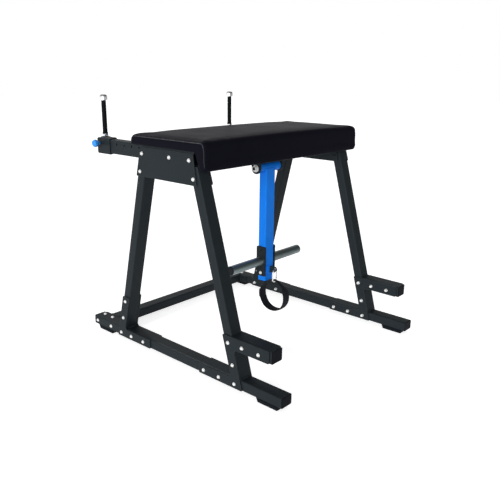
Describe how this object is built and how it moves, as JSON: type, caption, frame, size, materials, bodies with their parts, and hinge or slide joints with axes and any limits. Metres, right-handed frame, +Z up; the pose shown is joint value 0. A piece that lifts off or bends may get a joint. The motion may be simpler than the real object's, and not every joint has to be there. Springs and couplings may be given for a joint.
{
  "type": "reverse hyperextension machine",
  "caption": "Free-standing strength machine with a wide raised pad, a pendulum that swings under it with weight sleeves and an ankle strap, and two handles that slide on arms.",
  "frame": {"origin": "on the floor under the middle of the footprint", "axes": "+X across the machine, +Y towards the handle end, +Z up"},
  "size_m": [1.2698, 1.355, 1.2793],
  "materials": {
    "black_coat": "fine textured powder coat, satin",
    "blue_coat": "smooth powder coat, satin gloss",
    "pad_vinyl": "grained upholstery vinyl",
    "plywood": "plain",
    "end_cap_plastic": "moulded",
    "bush_plastic": "moulded",
    "foot_rubber": "moulded",
    "grip_rubber": "moulded, ribbed",
    "chrome": "polished",
    "dark_chrome": "dark polished plating",
    "zinc_steel": "bright zinc plating",
    "webbing": "woven polyester",
    "blue_plastic": "moulded knob on a steel pin"
  },
  "bodies": {
    "frame": {"base_tube_left": "black_coat", "rear_leg_left": "black_coat", "front_leg_left": "black_coat", "top_tube_left": "black_coat", "step_tube_left": "black_coat", "base_cap_rear_left": "end_cap_plastic", "base_cap_front_left": "end_cap_plastic", "step_cap_left": "end_cap_plastic", "arm_cap_left": "end_cap_plastic", "foot_rear_left": "foot_rubber", "foot_front_left": "foot_rubber", "gusset_outer_left": "black_coat", "gusset_inner_left": "black_coat", "front_plate_outer_left": "black_coat", "front_plate_inner_left": "black_coat", "rear_plate_outer_left": "black_coat", "rear_plate_inner_left": "black_coat", "base_tube_right": "black_coat", "rear_leg_right": "black_coat", "front_leg_right": "black_coat", "top_tube_right": "black_coat", "step_tube_right": "black_coat", "base_cap_rear_right": "end_cap_plastic", "base_cap_front_right": "end_cap_plastic", "step_cap_right": "end_cap_plastic", "arm_cap_right": "end_cap_plastic", "foot_rear_right": "foot_rubber", "foot_front_right": "foot_rubber", "gusset_outer_right": "black_coat", "gusset_inner_right": "black_coat", "front_plate_outer_right": "black_coat", "front_plate_inner_right": "black_coat", "rear_plate_outer_right": "black_coat", "rear_plate_inner_right": "black_coat", "cross_tube": "black_coat", "pad_beam": "black_coat", "pad": "pad_vinyl", "pad_board": "plywood", "pivot_bolt": "zinc_steel", "pivot_nut": "zinc_steel"},
    "pendulum": {"pendulum_arm": "blue_coat", "pendulum_cap": "end_cap_plastic", "bush_left": "bush_plastic", "bush_right": "bush_plastic", "weight_sleeve_left": "dark_chrome", "weight_sleeve_right": "dark_chrome", "strap_eye": "dark_chrome"},
    "snap_hook": {"snap_hook": "chrome"},
    "snap_hook_gate": {"snap_hook_gate": "chrome"},
    "strap": {"strap": "webbing"},
    "carriage_left": {"carriage_left": "black_coat", "collar_left": "chrome", "grip_left": "grip_rubber", "handle_cap_left": "chrome"},
    "pull_pin_left": {"pull_pin_left": "blue_plastic"},
    "carriage_right": {"carriage_right": "black_coat", "collar_right": "chrome", "grip_right": "grip_rubber", "handle_cap_right": "chrome"},
    "pull_pin_right": {"pull_pin_right": "blue_plastic"}
  },
  "joints": [
    {"name": "pendulum_swing", "type": "hinge", "parent": "frame", "child": "pendulum", "pos_m": [0, -0.0895, 0.932], "axis": [1, 0, 0], "range_deg": [-95, 50]},
    {"name": "snap_hook_swing", "type": "hinge", "parent": "pendulum", "child": "snap_hook", "pos_m": [0, -0.1535, 0.3884], "axis": [1, 0, 0], "range_deg": [-70, 3]},
    {"name": "strap_swing", "type": "hinge", "parent": "snap_hook", "child": "strap", "pos_m": [0, -0.1535, 0.3234], "axis": [1, 0, 0], "range_deg": [-40, 2]},
    {"name": "snap_hook_gate_swing", "type": "hinge", "parent": "snap_hook", "child": "snap_hook_gate", "pos_m": [0.016, -0.1535, 0.3404], "axis": [0, -1, 0], "range_deg": [0, 25], "stiffness_Nm_per_rad": 0.02},
    {"name": "carriage_left_slide", "type": "slide", "parent": "frame", "child": "carriage_left", "axis": [0, 1, 0], "range_m": [-0.174, 0]},
    {"name": "pull_pin_left_slide", "type": "slide", "parent": "carriage_left", "child": "pull_pin_left", "axis": [-1, 0, 0], "range_m": [-0.006, 0.01], "stiffness_N_per_m": 300},
    {"name": "carriage_right_slide", "type": "slide", "parent": "frame", "child": "carriage_right", "axis": [0, 1, 0], "range_m": [-0.174, 0]},
    {"name": "pull_pin_right_slide", "type": "slide", "parent": "carriage_right", "child": "pull_pin_right", "axis": [1, 0, 0], "range_m": [-0.006, 0.01], "stiffness_N_per_m": 300}
  ]
}
